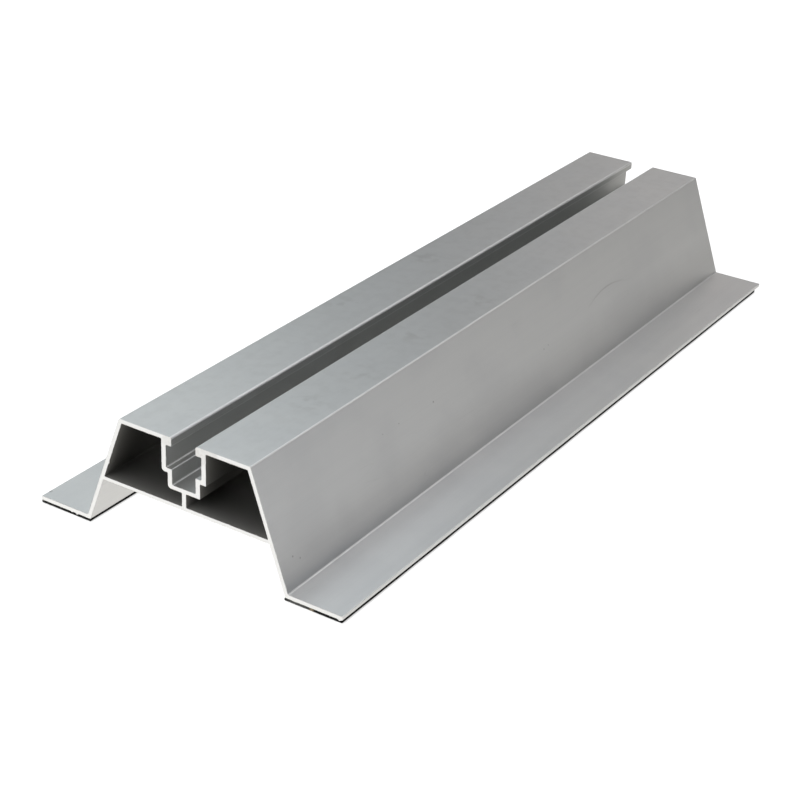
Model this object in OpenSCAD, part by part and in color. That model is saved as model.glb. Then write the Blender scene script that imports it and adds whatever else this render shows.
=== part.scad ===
// Short mounting rail for solar modules on a trapezoidal sheet roof.
// An extruded hat profile with a stepped clamp channel in its top, and a
// rubber sealing strip bonded under each flange.
// Millimetres. X runs across the rail, Y along it and Z up. The origin is
// at the middle of the rail, on the surface that the strips rest on.

/* [Rail] */
// Length of the rail
rail_len = 330; // [100:1:600]
// Height from the underside of the flanges to the top faces
rail_h = 43.3; // [41:0.1:60]
// Width over the two top faces, to their sharp outer corners
top_w = 53.7; // [44:0.1:80]
// Thickness of the top faces
top_t = 1.5; // [1:0.1:2.5]
// Slope of each leg, in degrees from upright
leg_slope = 20; // [5:0.5:30]
// Thickness of each leg, square to its face
leg_t = 1.5; // [1:0.1:2.5]

/* [Flanges] */
// Width of each flange, from the outside of its leg to its tip
flange_w = 21.2; // [12:0.1:50]
// Thickness of each flange
flange_t = 1.5; // [1:0.1:3]

/* [Bridge plate] */
// Height of the plate's underside above the underside of the flanges
plate_z = 17.8; // [10:0.1:19]
// Thickness of the plate that ties the legs together
plate_t = 1.3; // [1:0.1:2.5]
// Thickness of the rib that carries the channel on the plate
rib_t = 1.7; // [1:0.1:3]

/* [Clamp channel] */
// Width of the mouth, for the neck of the clamp bolt
mouth_w = 9.9; // [8.5:0.1:12]
// Thickness of the lips on both sides of the mouth
lip_t = 3.3; // [2:0.1:4]
// Width of the upper channel, for the slot nut
nut_w = 14.6; // [13:0.1:18]
// Height of the upper channel, from its ledges to the lips
nut_h = 8.4; // [7:0.1:10]
// Width of the lower channel, for the end of the bolt
relief_w = 9.7; // [7:0.1:12]
// Depth of the lower channel, from the ledges to the floor
relief_h = 5.8; // [3:0.1:8]
// Thickness of the channel's side walls
wall_t = 1.8; // [1:0.1:2.5]
// Thickness of the ledges
ledge_t = 1.6; // [1:0.1:2.5]
// Thickness of the channel's floor
floor_t = 1.5; // [1:0.1:2.5]

/* [Edges] */
// Radius on the outer corners of the top faces
top_r = 0.6; // [0.2:0.1:1.2]
// Radius on the upper edges of the mouth
mouth_r = 0.8; // [0.2:0.1:1.2]
// Radius on the lips' lower edges, the ledges and the flange tips
edge_r = 0.3; // [0.1:0.1:0.6]
// Radius in the inner corners of the channel
channel_r = 0.4; // [0.1:0.1:0.8]
// Radius where the legs run out into the flanges
foot_r = 0.6; // [0.2:0.1:2]
// Radius in the corners of the two chambers and under the plate
web_r = 0.3; // [0.1:0.1:1]
// Radius on the channel's outer corners in the left chamber
left_r = 1.3; // [0.2:0.1:1.5]
// Radius on the channel's outer corners in the right chamber
right_r = 0.2; // [0.1:0.1:1.5]

/* [Sealing strips] */
// Thickness of each strip
strip_t = 1; // [0.5:0.1:5]
// Distance from the inner edge of the foot to the strip
strip_inset = 0.3; // [0:0.1:4]
// Distance from the flange tip to the strip
strip_margin = 0.3; // [0:0.1:4]
// Distance from the rail's front end to the strip
strip_front = 0; // [0:0.5:10]
// Distance from the rail's back end to the strip
strip_back = 4.5; // [0:0.5:10]

/* [Hidden] */

aluminium = [0.71, 0.73, 0.74];
black_rubber = [0.07, 0.07, 0.08];

// Heights in the cross-section, from the underside of the flanges
z_ceiling = rail_h - top_t;
z_lip = rail_h - lip_t;
z_ledge = z_lip - nut_h;
z_floor = z_ledge - relief_h;
z_plate = plate_z + plate_t;

// Each leg's outer and inner face, as a distance from the middle at height z
leg_run = leg_t / cos(leg_slope);
function leg_out(z) = top_w / 2 + (rail_h - z) * tan(leg_slope);
function leg_in(z) = leg_out(z) - leg_run;
half_base = leg_out(flange_t) + flange_w;

// Outside of the channel's walls, as a distance from the middle
nut_out = nut_w / 2 + wall_t;
relief_out = relief_w / 2 + wall_t;

// Right half of the outline as [x, z, radius], from under the plate round to the channel's floor
right_half = [
    [leg_in(plate_z), plate_z, web_r],
    [leg_in(0), 0, edge_r],
    [half_base, 0, edge_r],
    [half_base, flange_t, edge_r],
    [leg_out(flange_t), flange_t, foot_r],
    [top_w / 2, rail_h, top_r],
    [mouth_w / 2, rail_h, mouth_r],
    [mouth_w / 2, z_lip, edge_r],
    [nut_w / 2, z_lip, channel_r],
    [nut_w / 2, z_ledge, channel_r],
    [relief_w / 2, z_ledge, edge_r],
    [relief_w / 2, z_floor, channel_r]
];
left_half = [for (i = [len(right_half) - 1 : -1 : 0]) let(p = right_half[i]) [-p.x, p.y, p.z]];

// Right chamber as [x, z, radius], anticlockwise from the foot of the rib to its head
function chamber(corner_r) = [
    [rib_t / 2, z_plate, web_r],
    [leg_in(z_plate), z_plate, web_r],
    [leg_in(z_ceiling), z_ceiling, web_r],
    [nut_out, z_ceiling, web_r],
    [nut_out, z_ledge - ledge_t, corner_r],
    [relief_out, z_ledge - ledge_t, web_r],
    [relief_out, z_floor - floor_t, corner_r],
    [rib_t / 2, z_floor - floor_t, web_r]
];

// Largest turn between two neighbouring points of an arc, in degrees
arc_step = 15;
// Largest part of a side that one corner's arc may take up
side_share = 0.48;

function unit(v) = v / norm(v);

// Arc of radius r that rounds the corner at b, from the side towards a to the side towards c
function corner_arc(a, b, c, r) =
    let(
        u = unit(a - b),
        v = unit(c - b),
        half_angle = acos(u * v) / 2,
        room = side_share * min(norm(a - b), norm(c - b)),
        reach = min(r / tan(half_angle), room),
        arc_r = reach * tan(half_angle),
        centre = b + unit(u + v) * arc_r / sin(half_angle),
        spoke = b + u * reach - centre,
        start = atan2(spoke.y, spoke.x),
        sweep = sign(cross(v, u)) * (180 - 2 * half_angle),
        steps = ceil(abs(sweep) / arc_step)
    )
    [for (i = [0 : steps]) let(t = start + sweep * i / steps) centre + arc_r * [cos(t), sin(t)]];

// Points of a closed outline with each of its corners rounded to that corner's own radius
function rounded(corners) =
    let(n = len(corners), p = [for (c = corners) [c.x, c.y]])
    [for (i = [0 : n - 1]) each corner_arc(p[(i + n - 1) % n], p[i], p[(i + 1) % n], corners[i].z)];

// Cross-section of the rail, seen from its front end
module rail_section() {
    difference() {
        polygon(rounded(concat(right_half, left_half)));
        polygon(rounded(chamber(right_r)));
        mirror([1, 0]) polygon(rounded(chamber(left_r)));
    }
}

module rail_profile() {
    color(aluminium)
    translate([0, rail_len / 2, strip_t])
    rotate([90, 0, 0])
    linear_extrude(height = rail_len)
    rail_section();
}

// Strip under the right foot, from the leg's inner edge to the flange tip
module seal_strip() {
    inner = leg_in(0) + strip_inset;
    outer = half_base - strip_margin;
    color(black_rubber)
    translate([inner, strip_front - rail_len / 2, 0])
    cube([outer - inner, rail_len - strip_front - strip_back, strip_t]);
}

module seal_strip_right() {
    seal_strip();
}

module seal_strip_left() {
    mirror([1, 0, 0]) seal_strip();
}

rail_profile();
seal_strip_left();
seal_strip_right();
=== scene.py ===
# %% [markdown]
# # A short mounting rail for solar modules
#
# The rail is one aluminium extrusion, sawn to length, with a thin strip of black
# rubber bonded under each foot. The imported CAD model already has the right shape, so
# this script loads it as a fixed frame and works on what CAD leaves out: the satin
# metal with its lengthwise lines, the bright sawn ends and their burrs, and rubber
# that looks cut by hand.
#
# The scene is in metres, in the CAD frame: X across the rail, Y along it, Z up. Small
# things such as marks and burrs are given in millimetres in the same frame.

import math

import bpy
import numpy as np
from mathutils import Matrix, Vector


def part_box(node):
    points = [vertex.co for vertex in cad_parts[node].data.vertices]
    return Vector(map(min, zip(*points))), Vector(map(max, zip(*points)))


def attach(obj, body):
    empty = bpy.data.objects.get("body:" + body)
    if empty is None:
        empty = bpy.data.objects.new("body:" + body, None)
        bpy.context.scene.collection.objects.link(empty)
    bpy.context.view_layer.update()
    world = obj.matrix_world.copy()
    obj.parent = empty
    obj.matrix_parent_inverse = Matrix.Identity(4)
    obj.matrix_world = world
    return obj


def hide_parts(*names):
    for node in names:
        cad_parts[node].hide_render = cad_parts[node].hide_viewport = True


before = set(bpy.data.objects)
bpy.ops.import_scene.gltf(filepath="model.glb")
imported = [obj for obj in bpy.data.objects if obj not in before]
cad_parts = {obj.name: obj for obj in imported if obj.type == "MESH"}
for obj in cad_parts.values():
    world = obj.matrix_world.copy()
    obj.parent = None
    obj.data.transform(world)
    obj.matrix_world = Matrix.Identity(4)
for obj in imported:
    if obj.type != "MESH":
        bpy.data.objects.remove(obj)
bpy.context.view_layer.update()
scene = bpy.context.scene
print("nodes:", ", ".join(sorted(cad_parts)))

# %% [markdown]
# ## The camera
#
# A photo can be matched by trial, or by solving for the camera that puts the corners
# of the real object where the photo has them. The second way was used here, so the
# values below are the result of a fit: the camera stands to the right of the rail's
# front end and looks down at it by 27 degrees. It was held a little askew, which is
# why its up direction leans by 2.6 degrees. Forward and up give the whole rotation,
# because a camera looks along its own -Z, with +Y up and +X to the right.

# %% Place the camera
CAMERA_AT = Vector((0.334569, -0.575025, 0.332875))
CAMERA_FORWARD = Vector((-0.467893, 0.756245, -0.457351))
CAMERA_UP = Vector((-0.278544, 0.364932, 0.888391))
SENSOR_MM = 36.0
LENS_MM = 84.09

camera = bpy.data.objects.new("camera", bpy.data.cameras.new("camera"))
scene.collection.objects.link(camera)
camera.data.sensor_width = SENSOR_MM
camera.data.lens = LENS_MM
camera_right = CAMERA_FORWARD.cross(CAMERA_UP)
camera.matrix_world = Matrix.Translation(CAMERA_AT) @ Matrix(
    (camera_right, CAMERA_UP, -CAMERA_FORWARD)
).transposed().to_4x4()
scene.camera = camera
print("camera at", tuple(round(c, 3) for c in CAMERA_AT), "lens", LENS_MM, "mm")

# %% [markdown]
# ## Helpers for node trees
#
# A shader can be wired by hand in the editor or in code. In code it reads best when
# one short call makes a node and plugs its inputs in, so these helpers do just that.
# A value given to them may be a plain number, a colour, or another node's output.


# %% Helpers that make and join shader nodes
def plug(tree, value, socket):
    """Joins an output to a socket, or writes a plain number or colour into it."""
    if isinstance(value, bpy.types.NodeSocket):
        tree.links.new(value, socket)
    else:
        socket.default_value = value


def add(tree, kind, inputs=None, **settings):
    """Makes one node, sets its options, and plugs in its inputs by name or number."""
    node = tree.nodes.new("ShaderNode" + kind)
    for option, value in settings.items():
        setattr(node, option, value)
    for key, value in (inputs or {}).items():
        plug(tree, value, node.inputs[key])
    return node


def calc(tree, operation, *values, clamp=False):
    """A Math node: one operation on plain numbers or outputs."""
    inputs = dict(enumerate(values))
    return add(tree, "Math", inputs, operation=operation, use_clamp=clamp).outputs[0]


def ramp(tree, value, low, high, to_low=0.0, to_high=1.0):
    """A Map Range node: value from low..high to to_low..to_high, eased and held at both ends."""
    inputs = {0: value, 1: low, 2: high, 3: to_low, 4: to_high}
    return add(tree, "MapRange", inputs, interpolation_type="SMOOTHSTEP").outputs[0]


def blend(tree, factor, first, second):
    """A Mix node for numbers: first at factor 0, second at factor 1."""
    return add(tree, "Mix", {0: factor, 2: first, 3: second}).outputs[0]


def blend_colour(tree, factor, first, second):
    """A Mix node for colours: first at factor 0, second at factor 1."""
    node = add(tree, "Mix", data_type="RGBA")
    for key, value in ((0, factor), (6, first), (7, second)):
        plug(tree, value, node.inputs[key])
    return node.outputs[2]


def how_far(tree, first, second):
    """How far apart two points are."""
    return add(tree, "VectorMath", {0: first, 1: second}, operation="DISTANCE").outputs["Value"]


def millimetres(tree):
    """The shaded point in the object's own frame, in millimetres."""
    metres = add(tree, "TexCoord").outputs["Object"]
    return add(tree, "VectorMath", {0: metres, 3: 1000.0}, operation="SCALE").outputs[0]


# %% Helpers that put masks together
# A mask is a number for each point: 1 where an effect is at work, 0 where it isn't.
def opposite(tree, mask):
    """1 where the mask is 0, and 0 where it is 1."""
    return calc(tree, "SUBTRACT", 1.0, mask)


def all_of(tree, first, *others):
    """The product of several masks, which is 1 only where all of them are."""
    for other in others:
        first = calc(tree, "MULTIPLY", first, other)
    return first


def strongest(tree, first, *others):
    """The largest of several masks at each point."""
    for other in others:
        first = calc(tree, "MAXIMUM", first, other)
    return first


def plus_shares(tree, start, *parts):
    """A number plus several masks, each times its own share. parts are (mask, share)."""
    for mask, share in parts:
        start = calc(tree, "MULTIPLY_ADD", mask, share, start)
    return start


# %% Helpers for groups, materials and tidy trees
def new_group(name, inputs, outputs):
    """An empty shader node group. inputs are (name, kind, default), outputs (name, kind)."""
    group = bpy.data.node_groups.new(name, "ShaderNodeTree")
    kinds = {"value": "NodeSocketFloat", "vector": "NodeSocketVector"}
    for label, kind, default in inputs:
        socket = group.interface.new_socket(name=label, in_out="INPUT", socket_type=kinds[kind])
        if default is not None:
            socket.default_value = default
    for label, kind in outputs:
        group.interface.new_socket(name=label, in_out="OUTPUT", socket_type=kinds[kind])
    ins = group.nodes.new("NodeGroupInput").outputs
    outs = group.nodes.new("NodeGroupOutput").inputs
    print("group:", name)
    return group, ins, outs


def place(tree, group, **inputs):
    """Places a group in a tree, with its inputs given by name, and returns its one output."""
    node = tree.nodes.new("ShaderNodeGroup")
    node.node_tree = group
    for key, value in inputs.items():
        plug(tree, value, node.inputs[key])
    return node.outputs[0]


def lay_out(tree, column=220, row=170):
    """Sets the nodes in columns by their distance from the output, so the tree can be read."""
    depth = {node: 0 for node in tree.nodes}
    for _ in range(len(depth)):
        moved = False
        for link in tree.links:
            if depth[link.from_node] <= depth[link.to_node]:
                depth[link.from_node] = depth[link.to_node] + 1
                moved = True
        if not moved:
            break
    filled = {}
    for node, steps in depth.items():
        filled[steps] = filled.get(steps, -1) + 1
        node.location = (-column * steps, -row * filled[steps])


def new_material(name):
    """A material with an empty tree and its output node."""
    material = bpy.data.materials.new(name)
    material.use_nodes = True
    material.node_tree.nodes.clear()
    return material, material.node_tree, add(material.node_tree, "OutputMaterial")


# %% [markdown]
# ## The studio
#
# Satin metal shows no picture of the room, only soft patches of light and dark, so
# its look is decided by where the soft lights stand. The rail's flat faces act as
# blurred mirrors. For this camera the top faces and the feet mirror the space behind
# the rail and to its left, the right leg mirrors what stands low on its right, and the
# rounded edges mirror what hangs above the back. Eight soft boxes stand in those
# directions. Their strengths could be set by eye, one after the other. Light adds up,
# though, so here a picture was rendered with each lamp alone, and least squares gave
# the mix that comes closest to the photo at some eighty places. Only the right card and
# the faint light of the world were raised a little afterwards.
#
# The sawn ends are nearly white in the photo, which takes much light from the front.
# A small strong lamp there would also be mirrored by the top faces and blow them out
# in any view from behind. So part of the light comes from a very large dim box, and
# the rest is a wash that rough surfaces scatter and metal doesn't mirror.
#
# An area light's brightness in a mirror is its power divided by pi and by its area,
# so the helper asks for that brightness and works out the power. An environment
# picture could replace all the lamps, but lamps can be named and moved one at a time.

# %% Soft boxes round the rail
STUDIO_CENTRE = Vector((0.0, 0.0, 0.02))


def soft_box(name, azimuth, elevation, distance, width, height, brightness, colour, mirrored=True):
    """A rectangle of light that faces the rail.

    Azimuth turns from the rail's back (0 degrees) towards its right side (90), and
    elevation rises from the floor, so the direction to the light is
    (sin a cos e, cos a cos e, sin e). Distance, width and height are in metres. A light
    that isn't mirrored adds nothing to the gloss of a surface and lights only what
    scatters.
    """
    a, e = math.radians(azimuth), math.radians(elevation)
    towards = Vector((math.sin(a) * math.cos(e), math.cos(a) * math.cos(e), math.sin(e)))
    data = bpy.data.lights.new(name, "AREA")
    data.shape = "RECTANGLE"
    data.size, data.size_y = width, height
    data.energy = brightness * math.pi * width * height
    data.color = colour
    lamp = bpy.data.objects.new(name, data)
    scene.collection.objects.link(lamp)
    lamp.location = STUDIO_CENTRE + towards * distance
    lamp.rotation_mode = "QUATERNION"
    lamp.rotation_quaternion = towards.to_track_quat("Z", "Y")
    lamp.visible_camera = False
    lamp.visible_glossy = mirrored
    print(f"{name}: {data.energy:.1f} W, {width} x {height} m at {distance} m")


soft_box("ceiling box", 20, 62, 1.5, 1.20, 0.80, 0.30, (1.00, 0.97, 0.87))
soft_box("left ceiling box", -60, 60, 1.5, 1.20, 0.70, 1.59, (0.87, 0.96, 1.00))
soft_box("left box", -64, 34, 1.5, 1.20, 0.62, 0.65, (0.96, 1.00, 0.99))
soft_box("low back box", -18, 13, 1.5, 0.70, 0.35, 0.47, (1.00, 0.93, 0.90))
soft_box("back box", -12, 30, 1.5, 0.50, 0.40, 0.49, (1.00, 0.93, 0.87))
soft_box("edge box", 14, 49, 1.5, 1.10, 0.30, 0.98, (0.95, 0.93, 1.00))
soft_box("right back box", 33, 28, 1.5, 0.60, 0.35, 1.65, (1.00, 0.96, 0.90))
soft_box("right card", 75, 6, 1.6, 1.40, 0.42, 0.52, (0.76, 0.85, 1.00))
soft_box("front box", 196, 34, 1.5, 2.80, 2.00, 0.85, (0.98, 0.99, 1.00))
soft_box("front wash", 196, 34, 1.5, 1.30, 0.80, 2.85, (0.98, 0.99, 1.00), mirrored=False)

# %% [markdown]
# ## The floor and the backdrop
#
# Pictures for a catalogue are cut out on white. A floor that is white for the camera
# would light the metal too strongly from below, because the real rail stood on a
# table of middling brightness. A Light Path node tells the two apart: the camera
# sees a nearly white floor with a faint soft shadow, and the metal sees a plain pale
# one, which is a little brighter round the front end of the rail and so lights the
# inner face of the left leg. The world does the same for what lies beyond the floor.
#
# A shadow this faint would leave the rail floating. Real rubber darkens the last
# millimetre of floor beside it, where hardly any light gets in. An Ambient Occlusion
# node measures just that, so it dims the camera's floor there. Far from the rail no lamp
# reaches the floor, so its own glow rises there until it meets the white of the world.
# The Standard view transform keeps that white, which a filmic one would turn grey.

# %% Pale floor
FLOOR_HALF_SIZE = 6.0
FLOOR_Z = -0.0001
WHITE = (1, 1, 1, 1)
FLOOR_GREY = (0.55, 0.55, 0.55, 1)
FLOOR_GLOW_FOR_CAMERA = 0.90
FLOOR_GLOW_FAR_OFF = 1.0
NEAR_THE_RAIL = (0.5, 2.0)
CONTACT_REACH = 0.001
CONTACT_SAMPLES = 8
TABLE_WHITE = (1.0, 0.98, 0.94, 1)
FLOOR_GLOW_FOR_METAL = 0.647
APRON_GLOW = 0.15
APRON_CENTRE = (-0.03, -0.17, 0.0)
APRON_RADIUS = 0.20


def flat_sheet(name, half_size, z):
    """A level square: the corners are every pair of -half_size and +half_size at height z."""
    sign = np.array([(-1, -1), (1, -1), (1, 1), (-1, 1)], float)
    corners = np.column_stack((sign * half_size, np.full(4, z)))
    mesh = bpy.data.meshes.new(name)
    mesh.from_pydata(corners.tolist(), [], [(0, 1, 2, 3)])
    sheet = bpy.data.objects.new(name, mesh)
    scene.collection.objects.link(sheet)
    return sheet


floor = flat_sheet("floor", FLOOR_HALF_SIZE, FLOOR_Z)
floor_paint, tree, output = new_material("pale floor")
metres = add(tree, "TexCoord").outputs["Object"]

shadowed = add(tree, "BsdfDiffuse", {"Color": FLOOR_GREY}).outputs[0]
open_sky = add(tree, "AmbientOcclusion", {"Distance": CONTACT_REACH}, samples=CONTACT_SAMPLES)
from_rail = how_far(tree, metres, (0, 0, 0))
glow_here = ramp(tree, from_rail, *NEAR_THE_RAIL, FLOOR_GLOW_FOR_CAMERA, FLOOR_GLOW_FAR_OFF)
floor_glow = calc(tree, "MULTIPLY", open_sky.outputs["AO"], glow_here)
glow = add(tree, "Emission", {"Color": WHITE, "Strength": floor_glow}).outputs[0]
seen = add(tree, "AddShader", {0: shadowed, 1: glow}).outputs[0]

from_apron = how_far(tree, metres, APRON_CENTRE)
glow_there = ramp(tree, from_apron, APRON_RADIUS, 0.0,
                  FLOOR_GLOW_FOR_METAL, FLOOR_GLOW_FOR_METAL + APRON_GLOW)
reflected = add(tree, "Emission", {"Color": TABLE_WHITE, "Strength": glow_there}).outputs[0]

camera_ray = add(tree, "LightPath").outputs["Is Camera Ray"]
either = add(tree, "MixShader", {0: camera_ray, 1: reflected, 2: seen}).outputs[0]
tree.links.new(either, output.inputs["Surface"])
lay_out(tree)
floor.data.materials.append(floor_paint)
print("floor", 2 * FLOOR_HALF_SIZE, "m square")

# %% The world beyond the floor
AMBIENT = 0.085

world = bpy.data.worlds.new("studio")
scene.world = world
world.use_nodes = True
tree = world.node_tree
tree.nodes.clear()
camera_ray = add(tree, "LightPath").outputs["Is Camera Ray"]
strength = blend(tree, camera_ray, AMBIENT, 1.0)
background = add(tree, "Background", {"Color": WHITE, "Strength": strength})
output = add(tree, "OutputWorld")
tree.links.new(background.outputs[0], output.inputs["Surface"])
lay_out(tree)
scene.view_settings.view_transform = "Standard"
print("world: white for the camera,", AMBIENT, "for everything else")

# %% [markdown]
# ## Effects that several materials share
#
# Metal and rubber both have grain, patches and small spots, only at other scales. Each
# effect is therefore a node group with its own sliders, built once and placed where it
# is needed. All of them read a position in millimetres, so a slider that says 0.4
# means 0.4 mm on the real part.

# %% Group: lines that run along the rail
# Extruded metal is dragged through a die, and every small flaw of the die draws a line
# as long as the rail. Noise that is squeezed across the rail and stretched along it
# gives such lines on every face at once. Noise seldom leaves NOISE_RANGE, so that range
# is stretched over the whole of 0 to 1.
NOISE_RANGE = (0.3, 0.7)


def noise(tree, point, detail):
    """A Noise Texture node of size 1. Detail is the number of finer layers in it."""
    return add(tree, "TexNoise", {"Vector": point, "Scale": 1.0, "Detail": detail}).outputs[0]


def squeeze(tree, point, across, along):
    """The point with X and Z divided by the size across, and Y by the size along."""
    x, y, z = add(tree, "SeparateXYZ", {0: point}).outputs
    return add(tree, "CombineXYZ", {
        "X": calc(tree, "DIVIDE", x, across),
        "Y": calc(tree, "DIVIDE", y, along),
        "Z": calc(tree, "DIVIDE", z, across),
    }).outputs[0]


lines_group, ins, outs = new_group(
    "lengthwise lines",
    [("Position", "vector", None), ("Pitch", "value", 0.5), ("Run", "value", 300.0)],
    [("Lines", "value")],
)
squeezed = squeeze(lines_group, ins["Position"], ins["Pitch"], ins["Run"])
lines = ramp(lines_group, noise(lines_group, squeezed, 2.0), *NOISE_RANGE)
lines_group.links.new(lines, outs["Lines"])
lay_out(lines_group)

# %% Group: soft patches
# Handling, oxide and dust leave patches with soft borders. One noise of a given size,
# stretched between two levels, makes all of these.
patches_group, ins, outs = new_group(
    "soft patches",
    [("Position", "vector", None), ("Size", "value", 20.0), ("Detail", "value", 3.0),
     ("From", "value", 0.4), ("To", "value", 0.65)],
    [("Patches", "value")],
)
squeezed = squeeze(patches_group, ins["Position"], ins["Size"], ins["Size"])
patches = ramp(patches_group, noise(patches_group, squeezed, ins["Detail"]), ins["From"], ins["To"])
patches_group.links.new(patches, outs["Patches"])
lay_out(patches_group)

# %% Group: one spot
# A nick, a speck of dirt or a dab of glue is a small ball of influence round a point:
# 1 at its centre, falling to 0 at its radius.
spot_group, ins, outs = new_group(
    "spot",
    [("Position", "vector", None), ("Centre", "vector", None), ("Radius", "value", 1.0)],
    [("Spot", "value")],
)
off_centre = how_far(spot_group, ins["Position"], ins["Centre"])
spot_group.links.new(ramp(spot_group, off_centre, ins["Radius"], 0.0), outs["Spot"])
lay_out(spot_group)


def spots(tree, position, marks):
    """Several spots in one mask. marks are (centre, radius) in millimetres."""
    masks = [place(tree, spot_group, Position=position, Centre=centre, Radius=radius)
             for centre, radius in marks]
    return strongest(tree, *masks)


# %% Group: hairline scratches
# Where a smooth noise crosses its middle value it draws thin winding contour lines.
# Stretched along the rail and kept only inside scattered patches, they look like the
# hairlines of handling and packing.
hairlines_group, ins, outs = new_group(
    "hairline scratches",
    [("Position", "vector", None), ("Size", "value", 5.0), ("Stretch", "value", 16.0),
     ("Width", "value", 0.006), ("Spread", "value", 30.0)],
    [("Hairlines", "value")],
)
along = calc(hairlines_group, "MULTIPLY", ins["Size"], ins["Stretch"])
squeezed = squeeze(hairlines_group, ins["Position"], ins["Size"], along)
above_middle = calc(hairlines_group, "SUBTRACT", noise(hairlines_group, squeezed, 1.0), 0.5)
off_middle = calc(hairlines_group, "ABSOLUTE", above_middle)
contour = ramp(hairlines_group, off_middle, ins["Width"], 0.0)
where = place(hairlines_group, patches_group, Position=ins["Position"], Size=ins["Spread"],
              Detail=1.0, From=0.5, To=0.62)
hairlines_group.links.new(all_of(hairlines_group, contour, where), outs["Hairlines"])
lay_out(hairlines_group)

# %% Group: saw marks
# A circular saw leaves arcs, all round the blade's axle, which stood well below the
# rail. The distance from the axle gives the rings, and a sine of it the ridges. A
# noise pushes the rings about and fades some of them, because no two teeth cut alike.
SAW_AXLE_MM = (-70.0, 0.0, -150.0)

saw_group, ins, outs = new_group(
    "saw marks",
    [("Position", "vector", None), ("Pitch", "value", 0.7)],
    [("Marks", "value")],
)
x, _, z = add(saw_group, "SeparateXYZ", {0: ins["Position"]}).outputs
in_section = add(saw_group, "CombineXYZ", {"X": x, "Z": z}).outputs[0]
push = place(saw_group, patches_group, Position=ins["Position"], Size=6.0, Detail=3.0,
             From=0.3, To=0.7)
pushed = calc(saw_group, "ADD", how_far(saw_group, in_section, SAW_AXLE_MM), push)
turns = calc(saw_group, "DIVIDE", pushed, ins["Pitch"])
sine = calc(saw_group, "SINE", calc(saw_group, "MULTIPLY", turns, 2 * math.pi))
ridges = plus_shares(saw_group, 0.5, (sine, 0.5))
fade = place(saw_group, patches_group, Position=ins["Position"], Size=2.5, Detail=2.0,
             From=0.35, To=0.65)
saw_group.links.new(all_of(saw_group, ridges, fade), outs["Marks"])
lay_out(saw_group)

# %% [markdown]
# ## Satin aluminium
#
# The rail's metal is a plain mill finish: bright, blurred along no direction in
# particular, with faint lines from the die, cloudy oxide, hairlines and a few specks.
# The sawn ends are another surface altogether. The saw opens fresh metal, which is
# paler and much rougher, so it scatters light and looks almost white. The rounded
# edges are painted paler, which is a painted highlight. They scatter part of the light
# too, which is why they stay pale lines where no lamp stands in their mirror.
#
# These could be several materials on separate faces. One material with masks does it
# without touching the CAD mesh. A point belongs to a sawn end where its normal points
# along the rail, to a rounded edge where its normal lies between those of the flat
# faces, and to the channel or the chambers where its place in the section says so.
#
# The chambers are grey at their mouths and nearly black half a centimetre in, because
# dull metal loses light at every bounce. Further in they are a little lighter again.
# The lamps alone gave too flat a picture of that, so the colour carries painted shade:
# it follows the depth, an exponential from the mouth inward, plus a slow rise of painted
# light further in. The chambers scatter a little too, so a wall that mirrors no lamp isn't
# pitch black. The channel is painted a little darker than the sheet, as painted shade,
# and that shade deepens only a little on the way from its front to past its middle, and
# not close to its ends.
#
# Two lips of the front end carry a brownish stain, which is a spot with a mottled
# strength. The outer faces of the legs are painted darker low down, towards the feet,
# as painted shade, and fingers have smudged the top faces.

# %% Marks seen on this rail, in millimetres
# Each mark is a centre and a radius. The arc is part of a ball's outline: the ball has
# ARC_CENTRE and ARC_RADIUS, and the arc fades out at ARC_REACH from ARC_MIDDLE.
SPECKS = (
    ((38.6, -157.8, 12.1), 0.55), ((39.3, -154.6, 10.2), 0.50), ((32.8, -64.7, 27.9), 0.60),
    ((32.6, -87.0, 28.5), 0.40), ((32.6, -97.1, 28.6), 0.35), ((-62.8, -161.0, 2.5), 1.20),
    ((35.7, 12.8, 20.0), 0.45), ((35.5, 16.4, 20.4), 0.40),
)
SMUDGES = (
    ((15.7, -118.0, 44.3), 9.0), ((17.2, -89.0, 44.3), 9.0), ((13.4, -51.0, 44.3), 10.0),
    ((18.6, -10.0, 44.3), 8.0), ((-20.8, -44.0, 44.3), 9.0), ((-20.2, 12.0, 44.3), 9.0),
)
LIP_STAINS = (((-6.6, -165.0, 42.6), 3.4), ((9.0, -165.0, 43.2), 7.0))
ARC_CENTRE = (50.1, 69.5, -19.6)
ARC_RADIUS = 49.0
ARC_HALF_WIDTH = 0.6
ARC_MIDDLE = (33.6, 68.0, 26.5)
ARC_REACH = 22.0
print(len(SPECKS), "specks,", len(SMUDGES), "smudges,", len(LIP_STAINS), "stained lips, one arc")

# %% Where the section's faces lie, in millimetres
# The legs lean from the outer corners of the top faces. The channel is taken to end
# halfway through its walls, its ledges and its floor, so that a mask that ends there
# changes inside the metal, where it can't be seen.
TOP_HALF_WIDTH = 26.85
LEG_SLOPE = math.radians(20)
PLATE_HEIGHT = 17.8
NUT_WALL_X = 8.2
LEDGE_DEPTH = 12.5
RELIEF_WALL_X = 5.75
CHANNEL_DEPTH = 18.25

rail_low, rail_high = (np.array(corner) * 1000 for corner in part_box("rail_profile"))
TIP_X, END_Y, TOP_Z = rail_high
PLATE_Z = rail_low[2] + PLATE_HEIGHT
LEG_LEAN = math.tan(LEG_SLOPE)
LEG_FOOT = TOP_HALF_WIDTH + TOP_Z * LEG_LEAN
print("top at", round(TOP_Z, 2), "mm, legs meet the ground at", round(LEG_FOOT, 2), "mm from the middle")

# %% Masks from where a point lies
# Each pair gives where the mask is 0 and where it is 1, in millimetres from the face
# that it is named after, or inwards from the limits of the channel.
UNDER_LEG = (0.5, 1.0)
UNDER_TOP = (0.6, 1.0)
OVER_PLATE = (0.3, 0.8)
ON_TOP = (0.2, 0.1)
AT_TIP = (0.3, 0.1)
IN_CHANNEL = (-0.3, 0.3)


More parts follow.
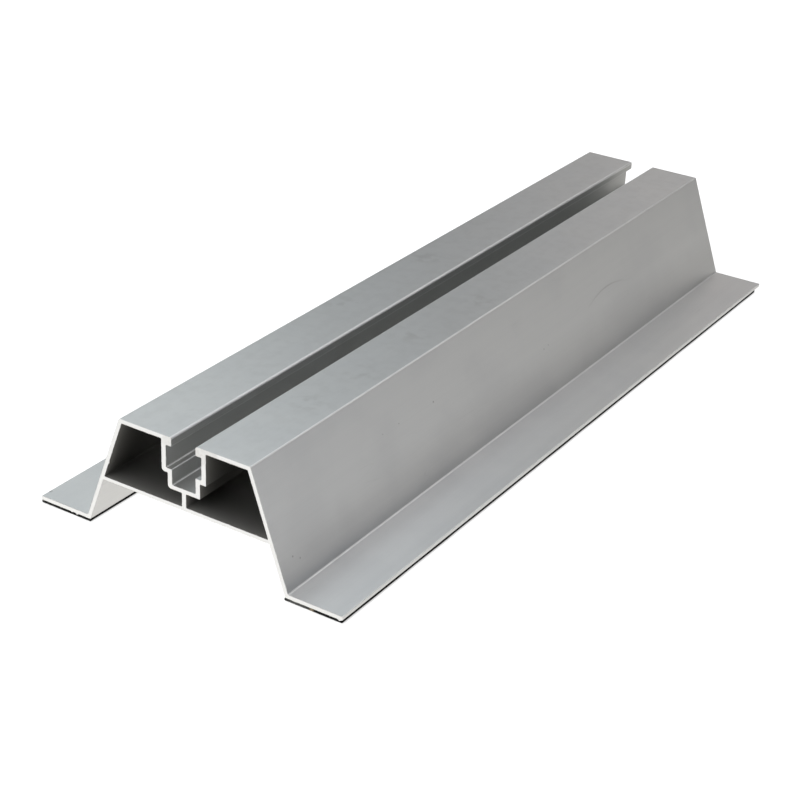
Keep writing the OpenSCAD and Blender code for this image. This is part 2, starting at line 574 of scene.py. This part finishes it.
def in_slot(tree, side, below_top, wall_x, floor_depth):
    """1 between walls at wall_x on both sides, and above a floor at floor_depth."""
    from_wall = calc(tree, "SUBTRACT", wall_x, side)
    from_floor = calc(tree, "SUBTRACT", floor_depth, below_top)
    return all_of(tree, ramp(tree, from_wall, *IN_CHANNEL), ramp(tree, from_floor, *IN_CHANNEL))


aluminium, tree, output = new_material("satin aluminium")
position = millimetres(tree)
x, y, z = add(tree, "SeparateXYZ", {0: position}).outputs
side = calc(tree, "ABSOLUTE", x)
below_top = calc(tree, "SUBTRACT", TOP_Z, z)
leg_line = calc(tree, "MULTIPLY_ADD", z, -LEG_LEAN, LEG_FOOT)
under_leg = ramp(tree, calc(tree, "SUBTRACT", leg_line, side), *UNDER_LEG)
over_plate = ramp(tree, calc(tree, "SUBTRACT", z, PLATE_Z), *OVER_PLATE)
inside = all_of(tree, under_leg, ramp(tree, below_top, *UNDER_TOP), over_plate)
in_channel = strongest(tree, in_slot(tree, side, below_top, NUT_WALL_X, LEDGE_DEPTH),
                       in_slot(tree, side, below_top, RELIEF_WALL_X, CHANNEL_DEPTH))
in_chamber = all_of(tree, inside, opposite(tree, in_channel))
depth = calc(tree, "SUBTRACT", END_Y, calc(tree, "ABSOLUTE", y))
print(len(tree.nodes), "nodes tell where a point lies")

# %% Masks from the way a point faces
# Each pair gives where the mask is 0 and where it is 1. Level faces have a sideways
# normal of 0, upright ones of 1, and the legs one of the cosine of their slope, so an
# edge is what lies off all three. A flange's tip is so thin that it is all edge.
SAWN_FACING = (0.6, 0.9)
OFF_LEVEL = (0.04, 0.15)
OFF_UPRIGHT = (0.999, 0.994)
OFF_LEG = (0.004, 0.010)
ON_LEG = (0.02, 0.01)

normal = add(tree, "NewGeometry").outputs["Normal"]
normal_x, normal_y, _ = add(tree, "SeparateXYZ", {0: normal}).outputs
sawn = ramp(tree, calc(tree, "ABSOLUTE", normal_y), *SAWN_FACING)
sideways = calc(tree, "ABSOLUTE", normal_x)
off_leg = calc(tree, "ABSOLUTE", calc(tree, "SUBTRACT", sideways, math.cos(LEG_SLOPE)))
turning = all_of(tree, ramp(tree, sideways, *OFF_LEVEL), ramp(tree, sideways, *OFF_UPRIGHT),
                 ramp(tree, off_leg, *OFF_LEG))
tip = ramp(tree, calc(tree, "SUBTRACT", TIP_X, side), *AT_TIP)
edge = all_of(tree, strongest(tree, turning, tip), opposite(tree, sawn), opposite(tree, in_chamber))
on_top = ramp(tree, below_top, *ON_TOP)
on_leg = calc(tree, "SUBTRACT", ramp(tree, off_leg, *ON_LEG), under_leg, clamp=True)
print(len(tree.nodes), "nodes with the way it faces")

# %% Colour of the plain sheet
SHEET_METAL = (0.800, 0.805, 0.805, 1)
SHEET_METAL_DARK = (0.755, 0.760, 0.765, 1)
FINE_LINES_SHARE = 0.15
BANDS_SHARE = 0.20
CLOUDS_SHARE = 0.55
SMUDGED_METAL = (0.650, 0.650, 0.645, 1)
SMUDGE_EVERYWHERE = 0.18
SMUDGE_ON_SPOTS = 0.50
DIRT_AND_SHADE = (0.36, 0.35, 0.34, 1)
LEG_SHADE_FROM_TO = (22.0, 9.0)
LEG_SHADE_SHARE = 0.16

fine_lines = place(tree, lines_group, Position=position, Pitch=0.35, Run=260.0)
bands = place(tree, lines_group, Position=position, Pitch=3.2, Run=900.0)
clouds = place(tree, patches_group, Position=position, Size=26.0, Detail=4.0)
shade = plus_shares(tree, 0.0, (bands, BANDS_SHARE), (fine_lines, FINE_LINES_SHARE),
                    (clouds, CLOUDS_SHARE))
colour = blend_colour(tree, shade, SHEET_METAL, SHEET_METAL_DARK)

touched = plus_shares(tree, SMUDGE_EVERYWHERE, (spots(tree, position, SMUDGES), SMUDGE_ON_SPOTS))
blotches = place(tree, patches_group, Position=position, Size=4.5, Detail=4.0, From=0.42, To=0.66)
colour = blend_colour(tree, all_of(tree, touched, blotches, on_top), colour, SMUDGED_METAL)
# Painted shade: the outer faces of the legs get darker towards the bottom, from 22 mm down to 9 mm.
leg_painted_shade = all_of(tree, on_leg, ramp(tree, z, *LEG_SHADE_FROM_TO), LEG_SHADE_SHARE)
colour = blend_colour(tree, leg_painted_shade, colour, DIRT_AND_SHADE)
print(len(tree.nodes), "nodes with the plain sheet")

# %% Colour inside the channel and the chambers, which is painted shade, and on the edges, which is painted highlight
CHANNEL_METAL = (0.660, 0.665, 0.658, 1)
CHANNEL_PAINTED_SHADE = (0.575, 0.581, 0.573, 1)
CHANNEL_SHADE_ALONG_Y = (-160.0, 50.0)
CHANNEL_SHADE_FROM_END = (10.0, 40.0)
CHAMBER_MOUTH = (0.570, 0.562, 0.540, 1)
CHAMBER_PAINTED_SHADE = (0.180, 0.176, 0.168, 1)
CHAMBER_FADE = 3.8
CHAMBER_LIGHTER_AGAIN = (10.0, 34.0)
FAR_IN_SHARE = 0.9
EDGE_PAINTED_HIGHLIGHT = (0.960, 0.965, 0.965, 1)

# Painted shade: the chamber walls darken exponentially with depth from the mouth, and a little painted
# light returns further in.
at_mouth = calc(tree, "EXPONENT", calc(tree, "DIVIDE", depth, -CHAMBER_FADE))
far_in = ramp(tree, depth, *CHAMBER_LIGHTER_AGAIN)
chamber_painted_light = calc(tree, "MULTIPLY_ADD", far_in, FAR_IN_SHARE, at_mouth, clamp=True)
chamber_painted_shade_colour = blend_colour(tree, chamber_painted_light, CHAMBER_PAINTED_SHADE, CHAMBER_MOUTH)
# Painted shade: the channel is darker than the sheet and darker still towards its middle, away from the
# open ends.
channel_painted_shade = all_of(tree, ramp(tree, y, *CHANNEL_SHADE_ALONG_Y),
                      ramp(tree, depth, *CHANNEL_SHADE_FROM_END))
channel_colour = blend_colour(tree, channel_painted_shade, CHANNEL_METAL, CHANNEL_PAINTED_SHADE)
# The channel's and the chambers' colours, both painted shade, take over inside the rail.
painted_shade_inside = blend_colour(tree, in_channel, chamber_painted_shade_colour, channel_colour)
colour = blend_colour(tree, inside, colour, painted_shade_inside)
# Painted highlight: the rounded edges and the flange tips get a paler colour.
colour = blend_colour(tree, edge, colour, EDGE_PAINTED_HIGHLIGHT)
print(len(tree.nodes), "nodes with the inside and the edges")

# %% Specks, the arc-shaped scratch and hairlines
SPECK_SHARE = 0.7
ARC_SHARE = 0.3
HAIRLINE_SHARE = 0.05

off_arc = calc(tree, "SUBTRACT", how_far(tree, position, ARC_CENTRE), ARC_RADIUS)
arc = all_of(tree, ramp(tree, calc(tree, "ABSOLUTE", off_arc), ARC_HALF_WIDTH, 0.0),
             place(tree, spot_group, Position=position, Centre=ARC_MIDDLE, Radius=ARC_REACH))
hairlines = place(tree, hairlines_group, Position=position)
marks = strongest(tree, all_of(tree, spots(tree, position, SPECKS), SPECK_SHARE),
                  all_of(tree, arc, ARC_SHARE), all_of(tree, hairlines, HAIRLINE_SHARE))
colour = blend_colour(tree, marks, colour, DIRT_AND_SHADE)
print(len(tree.nodes), "nodes with the marks")

# %% Colour of the sawn ends
SAWN_METAL = (0.990, 0.987, 0.972, 1)
SAWN_METAL_DULL = (0.80, 0.79, 0.765, 1)
SAW_MARKS_SHARE = 0.10
MOTTLE_SHARE = 0.12
STAIN_EVEN = 0.5
STAIN_MOTTLED = 0.4
STAIN_EDGE = 0.5

saw_marks = place(tree, saw_group, Position=position, Pitch=0.7)
mottle = place(tree, patches_group, Position=position, Size=1.6, Detail=4.0, From=0.45, To=0.75)
worn = plus_shares(tree, 0.0, (mottle, MOTTLE_SHARE), (saw_marks, SAW_MARKS_SHARE))
stains = all_of(tree, ramp(tree, spots(tree, position, LIP_STAINS), 0.0, STAIN_EDGE),
                plus_shares(tree, STAIN_EVEN, (mottle, STAIN_MOTTLED)))
sawn_colour = blend_colour(tree, strongest(tree, worn, stains), SAWN_METAL, SAWN_METAL_DULL)
colour = blend_colour(tree, sawn, colour, sawn_colour)
print(len(tree.nodes), "nodes with the sawn ends")

# %% How rough and how metallic each place is
SHEET_ROUGHNESS = 0.38
ROUGHER_BY_CLOUDS = 0.02
ROUGHER_BY_LINES = 0.03
ROUGHER_BY_MARKS = 0.15
CHANNEL_ROUGHNESS = 0.55
CHAMBER_ROUGHNESS = 0.62
CHAMBER_METALLIC = 0.85
EDGE_ROUGHNESS = 0.33
EDGE_METALLIC = 0.65
SAWN_ROUGHNESS = 0.65
SAWN_METALLIC = 0.2

roughness = plus_shares(tree, SHEET_ROUGHNESS, (clouds, ROUGHER_BY_CLOUDS),
                        (fine_lines, ROUGHER_BY_LINES), (marks, ROUGHER_BY_MARKS))
inside_roughness = blend(tree, in_chamber, CHANNEL_ROUGHNESS, CHAMBER_ROUGHNESS)
roughness = blend(tree, inside, roughness, inside_roughness)
roughness = blend(tree, edge, roughness, EDGE_ROUGHNESS)
roughness = blend(tree, sawn, roughness, SAWN_ROUGHNESS)
metallic = blend(tree, edge, 1.0, EDGE_METALLIC)
metallic = blend(tree, in_chamber, metallic, CHAMBER_METALLIC)
metallic = blend(tree, sawn, metallic, SAWN_METALLIC)
print(len(tree.nodes), "nodes with roughness and metal")

# %% Fine relief, and the metal on the rail
LINE_RELIEF = 0.5
RELIEF_STRENGTH = 0.15
RELIEF_METRES = 0.00003

sheet_relief = plus_shares(tree, 0.0, (hairlines, -LINE_RELIEF), (fine_lines, LINE_RELIEF))
relief = blend(tree, sawn, sheet_relief, saw_marks)
bump = add(tree, "Bump", {
    "Height": relief, "Strength": RELIEF_STRENGTH, "Distance": RELIEF_METRES,
}).outputs[0]
metal = add(tree, "BsdfPrincipled", {
    "Base Color": colour, "Roughness": roughness, "Metallic": metallic, "Normal": bump,
}).outputs[0]
tree.links.new(metal, output.inputs["Surface"])
lay_out(tree)

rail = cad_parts["rail_profile"]
for material_slot in rail.material_slots:
    material_slot.material = aluminium
print("aluminium on", rail.name, "with", len(tree.nodes), "nodes")

# %% [markdown]
# ## Closed meshes from grids
#
# A strip of rubber is a block, but a block with straight sides looks like a drawing. So
# the block is made of grids: every side is a surface of two parameters, and the six
# sides share their border points, which closes the mesh. A function then moves the
# points where cutting, gluing and pressing have moved the real rubber.


# %% Helpers: a welded block of grids, and ripples
def block_grid(nu, nv, nw):
    """The surface of a unit block as (points, quads).

    Points are numbered as in a full lattice of u, v and w, and each side lists its quads
    by those numbers, so two sides that meet name the same points. Only the numbers in
    use are kept, which leaves one closed skin. Quads turn anticlockwise seen from outside.
    """
    def number(u, v, w):
        return (u * (nv + 1) + v) * (nw + 1) + w

    def side(n_first, n_second, where, flip):
        first, second = np.meshgrid(np.arange(n_first), np.arange(n_second), indexing="ij")
        ring = [where(first, second), where(first + 1, second),
                where(first + 1, second + 1), where(first, second + 1)]
        return np.stack(ring[::-1] if flip else ring, axis=-1).reshape(-1, 4)

    sides = [side(nu, nv, lambda a, b, end=end: number(a, b, end), end == 0) for end in (0, nw)]
    sides += [side(nv, nw, lambda a, b, end=end: number(end, a, b), end == 0) for end in (0, nu)]
    sides += [side(nu, nw, lambda a, b, end=end: number(a, end, b), end > 0) for end in (0, nv)]
    used, quads = np.unique(np.concatenate(sides), return_inverse=True)
    lattice = np.column_stack(np.unravel_index(used, (nu + 1, nv + 1, nw + 1)))
    return lattice / (nu, nv, nw), quads.reshape(-1, 4)


def ripple(t, wavelength, seed):
    """A smooth random curve between -1 and 1: five sines, the longest of the given wavelength."""
    dice = np.random.default_rng(seed)
    waves = wavelength * np.array([1.0, 0.71, 0.53, 0.37, 0.26])
    heights = np.array([0.34, 0.26, 0.18, 0.13, 0.09])
    phases = dice.uniform(0, 2 * np.pi, 5)
    t = np.asarray(t, float)[..., None]
    return (heights * np.sin(2 * np.pi * t / waves + phases)).sum(-1)


def bell(off, width):
    """A bell curve of height 1: e to the power of minus the square of off over width."""
    return np.exp(-(off / width) ** 2)


def mesh_piece(name, points_mm, quads, material):
    """An object at the origin from points in millimetres and their quads, shaded flat."""
    mesh = bpy.data.meshes.new(name)
    mesh.from_pydata((points_mm / 1000).tolist(), [], quads.tolist())
    mesh.materials.append(material)
    mesh.update()
    piece = bpy.data.objects.new(name, mesh)
    scene.collection.objects.link(piece)
    print(name, len(mesh.vertices), "points,", len(quads), "faces")
    return piece


# %% [markdown]
# ## Burrs on the sawn edges
#
# A saw tears as much as it cuts, so a thin ragged lip of metal is left along the walls
# where they meet the sawn face, with a longer tongue here and there. A bump map can't
# show it, because a burr is an outline: it stands up from the wall and over the rubber.
# It could be sculpted, but it follows the section exactly, so it is a small four-sided
# profile carried along each straight edge, higher and lower by a ripple.
#
# The edges come from the loaded CAD mesh: a wall's triangle with two corners in the end
# plane shares one edge with it. The top faces get no burr, because they are the top of
# the CAD box.

# %% Edges between a sawn end and the walls
SHORTEST_EDGE = 1.2
SAME_PLACE = 0.01
WALL_FACING = 0.5


def read(items, attribute, kind=float):
    """One attribute of a mesh's items, as an array with three numbers for each item."""
    values = np.empty(3 * len(items), kind)
    items.foreach_get(attribute, values)
    return values.reshape(-1, 3)


def wall_edges(y_end):
    """The straight edges at a sawn end, in millimetres: first points, last points, wall normals."""
    mesh = rail.data
    mesh.calc_loop_triangles()
    points = 1000 * read(mesh.vertices, "co")
    corners = read(mesh.loop_triangles, "vertices", int)
    normals = read(mesh.loop_triangles, "normal")
    at_end = np.abs(points[corners][:, :, 1] - y_end) < SAME_PLACE
    wall = (at_end.sum(1) == 2) & (np.abs(normals[:, 1]) < WALL_FACING)
    pairs = points[corners[wall][at_end[wall]]].reshape(-1, 2, 3)
    length = np.linalg.norm(pairs[:, 1] - pairs[:, 0], axis=1)
    keep = (length > SHORTEST_EDGE) & (pairs[:, :, 2].min(1) < TOP_Z - SAME_PLACE)
    return pairs[keep, 0], pairs[keep, 1], normals[wall][keep]


# %% The burrs at both ends
# Sizes are in millimetres. A tongue is (x, z, width, height).
BURR_STEPS = 90
BURR_DEPTH = 0.30
BURR_ROOT = 0.05
LEAST_HEIGHT = 0.015
RIPPLE_HEIGHT = 0.13
LONG_WAVE = 5.3
SHORT_WAVE = 0.8
SHORT_WAVE_SHARE = 0.6
SHIFT_PER_EDGE = 53.7
FADE_LENGTH = 0.5
LEAST_FADE = 0.05
BACK_HEIGHT_SHARE = 0.6
BACK_DEPTH_SHARE = 0.45
FRONT_TONGUES = (
    (-49.4, 1.0, 0.22, 0.34), (-47.1, 1.0, 0.34, 0.46), (62.0, 1.0, 0.55, 0.30),
    (-31.9, 26.2, 0.30, 0.30), (44.6, 1.0, 0.8, 0.10),
)


def saw_burr(name, y_end, tongues, seed):
    """A ragged lip along every straight edge of one sawn end.

    At a distance s along an edge the lip stands height(s) above the wall: a low ripple,
    cut off below and squared so that long stretches are nearly clean, plus a bell curve
    for each tongue. The profile has four points: in the metal at the end plane, the tip,
    partway down its back, and in the metal again further along. The lip fades out at
    both ends of the edge. Each edge takes another stretch of the ripple.
    """
    first, last, normal = wall_edges(y_end)
    inward = np.array([0.0, -np.sign(y_end), 0.0])
    turned = (np.cross(last - first, normal) @ inward) < 0
    first[turned], last[turned] = last[turned], first[turned]
    t = np.linspace(0, 1, BURR_STEPS)
    line = first[:, None] + (last - first)[:, None] * t[:, None]
    length = np.linalg.norm(last - first, axis=1)[:, None]
    s = length * t + SHIFT_PER_EDGE * np.arange(len(first))[:, None]
    fade = np.clip(np.minimum(t, 1 - t) * length / FADE_LENGTH, LEAST_FADE, 1)
    uneven = 1 + SHORT_WAVE_SHARE * ripple(s, SHORT_WAVE, seed + 1)
    height = LEAST_HEIGHT + RIPPLE_HEIGHT * np.clip(ripple(s, LONG_WAVE, seed), 0, 1) ** 2 * uneven
    for x, z, width, rise in tongues:
        height = height + rise * bell(np.hypot(line[..., 0] - x, line[..., 2] - z), width)
    height = (height * fade)[..., None]
    root = line - BURR_ROOT * normal[:, None]
    tip = line + height * normal[:, None]
    back = line + BACK_HEIGHT_SHARE * height * normal[:, None] + BACK_DEPTH_SHARE * BURR_DEPTH * inward
    rings = np.stack([root, tip, back, root + BURR_DEPTH * inward], axis=2)

    number = np.arange(rings[..., 0].size).reshape(rings.shape[:3])
    here, there = number, np.roll(number, -1, axis=2)
    sides = np.stack([here[:, :-1], there[:, :-1], there[:, 1:], here[:, 1:]], axis=-1).reshape(-1, 4)
    caps = np.concatenate((number[:, 0, ::-1], number[:, -1]))
    piece = mesh_piece(name, rings.reshape(-1, 3), np.concatenate((sides, caps)), aluminium)
    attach(piece, "root")
    print(f"{name}: {len(first)} edges, lips up to {height.max():.2f} mm")


saw_burr("saw_burr_front", rail_low[1], FRONT_TONGUES, 5)
saw_burr("saw_burr_back", END_Y, (), 8)

# %% [markdown]
# ## Black sealing rubber
#
# The strips are closed-cell rubber foam on an adhesive film, pressed to the feet and
# trimmed with a knife. Rubber reflects little, so its shape is told by its edges: the
# material is nearly black and matt, with a fine grain and thin grey dust. On the cut
# front end of the right strip one place is rubbed grey, and one has a dab of brownish glue.

# %% The rubber material
RUBBER_BLACK = (0.004, 0.004, 0.004, 1)
RUBBER_GREY = (0.022, 0.022, 0.021, 1)
RUBBER_DUST = (0.20, 0.20, 0.19, 1)
GLUE_BROWN = (0.36, 0.30, 0.21, 1)
GLUE_DAB = ((51.2, -165.0, 0.5), 1.5)
GLUE_SHARE = 0.8
RUBBED_PLACE = ((46.0, -165.0, 0.5), 7.0)
RUBBED_EDGE = 0.6
RUBBED_SHARE = 0.35
CUT_FACING = (0.5, 0.8)
GRAIN_SHARE = 0.35
DUST_SHARE = 0.10
RUBBER_ROUGHNESS = 0.72
ROUGHER_BY_GRAIN = 0.15
RUBBER_SPECULAR = 0.12
GRAIN_STRENGTH = 0.4
GRAIN_METRES = 0.00005

rubber, tree, output = new_material("black sealing rubber")
position = millimetres(tree)
normal = add(tree, "NewGeometry").outputs["Normal"]
_, normal_y, _ = add(tree, "SeparateXYZ", {0: normal}).outputs
cut_end = ramp(tree, calc(tree, "ABSOLUTE", normal_y), *CUT_FACING)
grain = place(tree, patches_group, Position=position, Size=0.25, Detail=2.0, From=0.3, To=0.7)
dust = place(tree, patches_group, Position=position, Size=7.0, Detail=4.0, From=0.52, To=0.72)
near_rubbed = ramp(tree, spots(tree, position, [RUBBED_PLACE]), 0.0, RUBBED_EDGE)
glue = spots(tree, position, [GLUE_DAB])
colour = blend_colour(tree, all_of(tree, grain, GRAIN_SHARE), RUBBER_BLACK, RUBBER_GREY)
colour = blend_colour(tree, all_of(tree, dust, DUST_SHARE), colour, RUBBER_DUST)
rubbed = all_of(tree, cut_end, near_rubbed, RUBBED_SHARE)
colour = blend_colour(tree, rubbed, colour, RUBBER_DUST)
colour = blend_colour(tree, all_of(tree, glue, GLUE_SHARE), colour, GLUE_BROWN)
roughness = plus_shares(tree, RUBBER_ROUGHNESS, (grain, ROUGHER_BY_GRAIN))
bump = add(tree, "Bump", {
    "Height": grain, "Strength": GRAIN_STRENGTH, "Distance": GRAIN_METRES,
}).outputs[0]
skin = add(tree, "BsdfPrincipled", {
    "Base Color": colour, "Roughness": roughness, "Normal": bump,
    "Specular IOR Level": RUBBER_SPECULAR,
}).outputs[0]
tree.links.new(skin, output.inputs["Surface"])
lay_out(tree)
print("rubber with", len(tree.nodes), "nodes")

# %% The two strips
# Sizes are in millimetres. A wave is (height, wavelength). A chip is (place across,
# width, depth, height). BULGE comes on top of SIDE_OVERHANG at half height.
STRIP_GRID = (72, 240, 4)
ROWS_CLOSER_AT_ENDS = 2.6
SIDE_OVERHANG = 0.10
SIDE_WANDER = 0.07
LEFT_WAVELENGTH = 34
RIGHT_WAVELENGTH = 41
BULGE = 0.08
END_REACH = 0.8
FRONT_CUT = 0.07
FRONT_WAVE = (0.05, 3.1)
FRONT_FINE_WAVE = (0.02, 0.9)
FINE_WAVE_SLANT = 5
BACK_CUT = 0.12
BACK_WAVE = (0.10, 4.3)
FLAP_SHARE = 9
LEFT_CHIPS = ((-49.3, 0.5, 0.5, 0.30), (-47.3, 0.6, 0.6, 0.35))
RIGHT_CHIPS = ((42.9, 0.5, 0.3, 0.25), (49.9, 1.1, 0.5, 0.15), (62.2, 0.8, 0.4, 0.30))


def sway(t, height, wavelength, seed):
    """A ripple of the given height."""
    return height * ripple(t, wavelength, seed)


def rubber_strip(name, node, chips, flap, seed):
    """One sealing strip in the place of its CAD node.

    u runs across the strip, v along it and w up. v is eased, so that its rows lie closer
    together at both ends. The long edges wander by less than a tenth of a millimetre,
    the sides bulge at half height like pressed foam, and both ends are cut in a ragged
    line. What happens to an end dies away from it as e to the power of minus the
    distance over END_REACH. A chip takes a bell-shaped bite out of the front end's edge.
    The knife has dragged the inner corner of the front end out from under the leg: only
    the innermost part of the width, one in FLAP_SHARE, moves, by up to flap millimetres.
    """
    low, high = (np.array(corner) * 1000 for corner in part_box(node))
    points, quads = block_grid(*STRIP_GRID)
    u, v, w = points.T
    centred = 2 * v - 1
    v = 0.5 + 0.5 * np.sign(centred) * (1 - (1 - np.abs(centred)) ** ROWS_CLOSER_AT_ENDS)
    width, length, thickness = high - low
    y = low[1] + length * v
    bulge = SIDE_OVERHANG + BULGE * 4 * w * (1 - w)
    left_pull = sway(y, SIDE_WANDER, LEFT_WAVELENGTH, seed) - bulge
    right_pull = sway(y, SIDE_WANDER, RIGHT_WAVELENGTH, seed + 1) - bulge
    x = low[0] + left_pull + (width - left_pull - right_pull) * u

    near_front = np.exp(-(y - low[1]) / END_REACH)
    near_back = np.exp(-(high[1] - y) / END_REACH)
    front_cut = FRONT_CUT + sway(x, *FRONT_WAVE, seed + 2)
    front_cut = front_cut + sway(x + FINE_WAVE_SLANT * w, *FRONT_FINE_WAVE, seed + 3)
    back_cut = BACK_CUT + sway(x, *BACK_WAVE, seed + 4)
    y = y + front_cut * near_front - back_cut * near_back
    z = low[2] + thickness * w
    for where, spread, depth, height in chips:
        bite = bell(x - where, spread) * near_front
        y = y + depth * bite * w
        z = z - height * bite * w
    towards_middle = -np.sign(low[0])
    inner_side = u if towards_middle > 0 else 1 - u
    dragged = np.clip(1 - FLAP_SHARE * (1 - inner_side), 0, 1)
    x = x + towards_middle * flap * near_front * dragged

    piece = mesh_piece(name, np.column_stack((x, y, np.clip(z, low[2], high[2]))), quads, rubber)
    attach(piece, "root")
    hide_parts(node)


rubber_strip("rubber_strip_left", "seal_strip_left", LEFT_CHIPS, 0.2, 11)
rubber_strip("rubber_strip_right", "seal_strip_right", RIGHT_CHIPS, 0.5, 23)
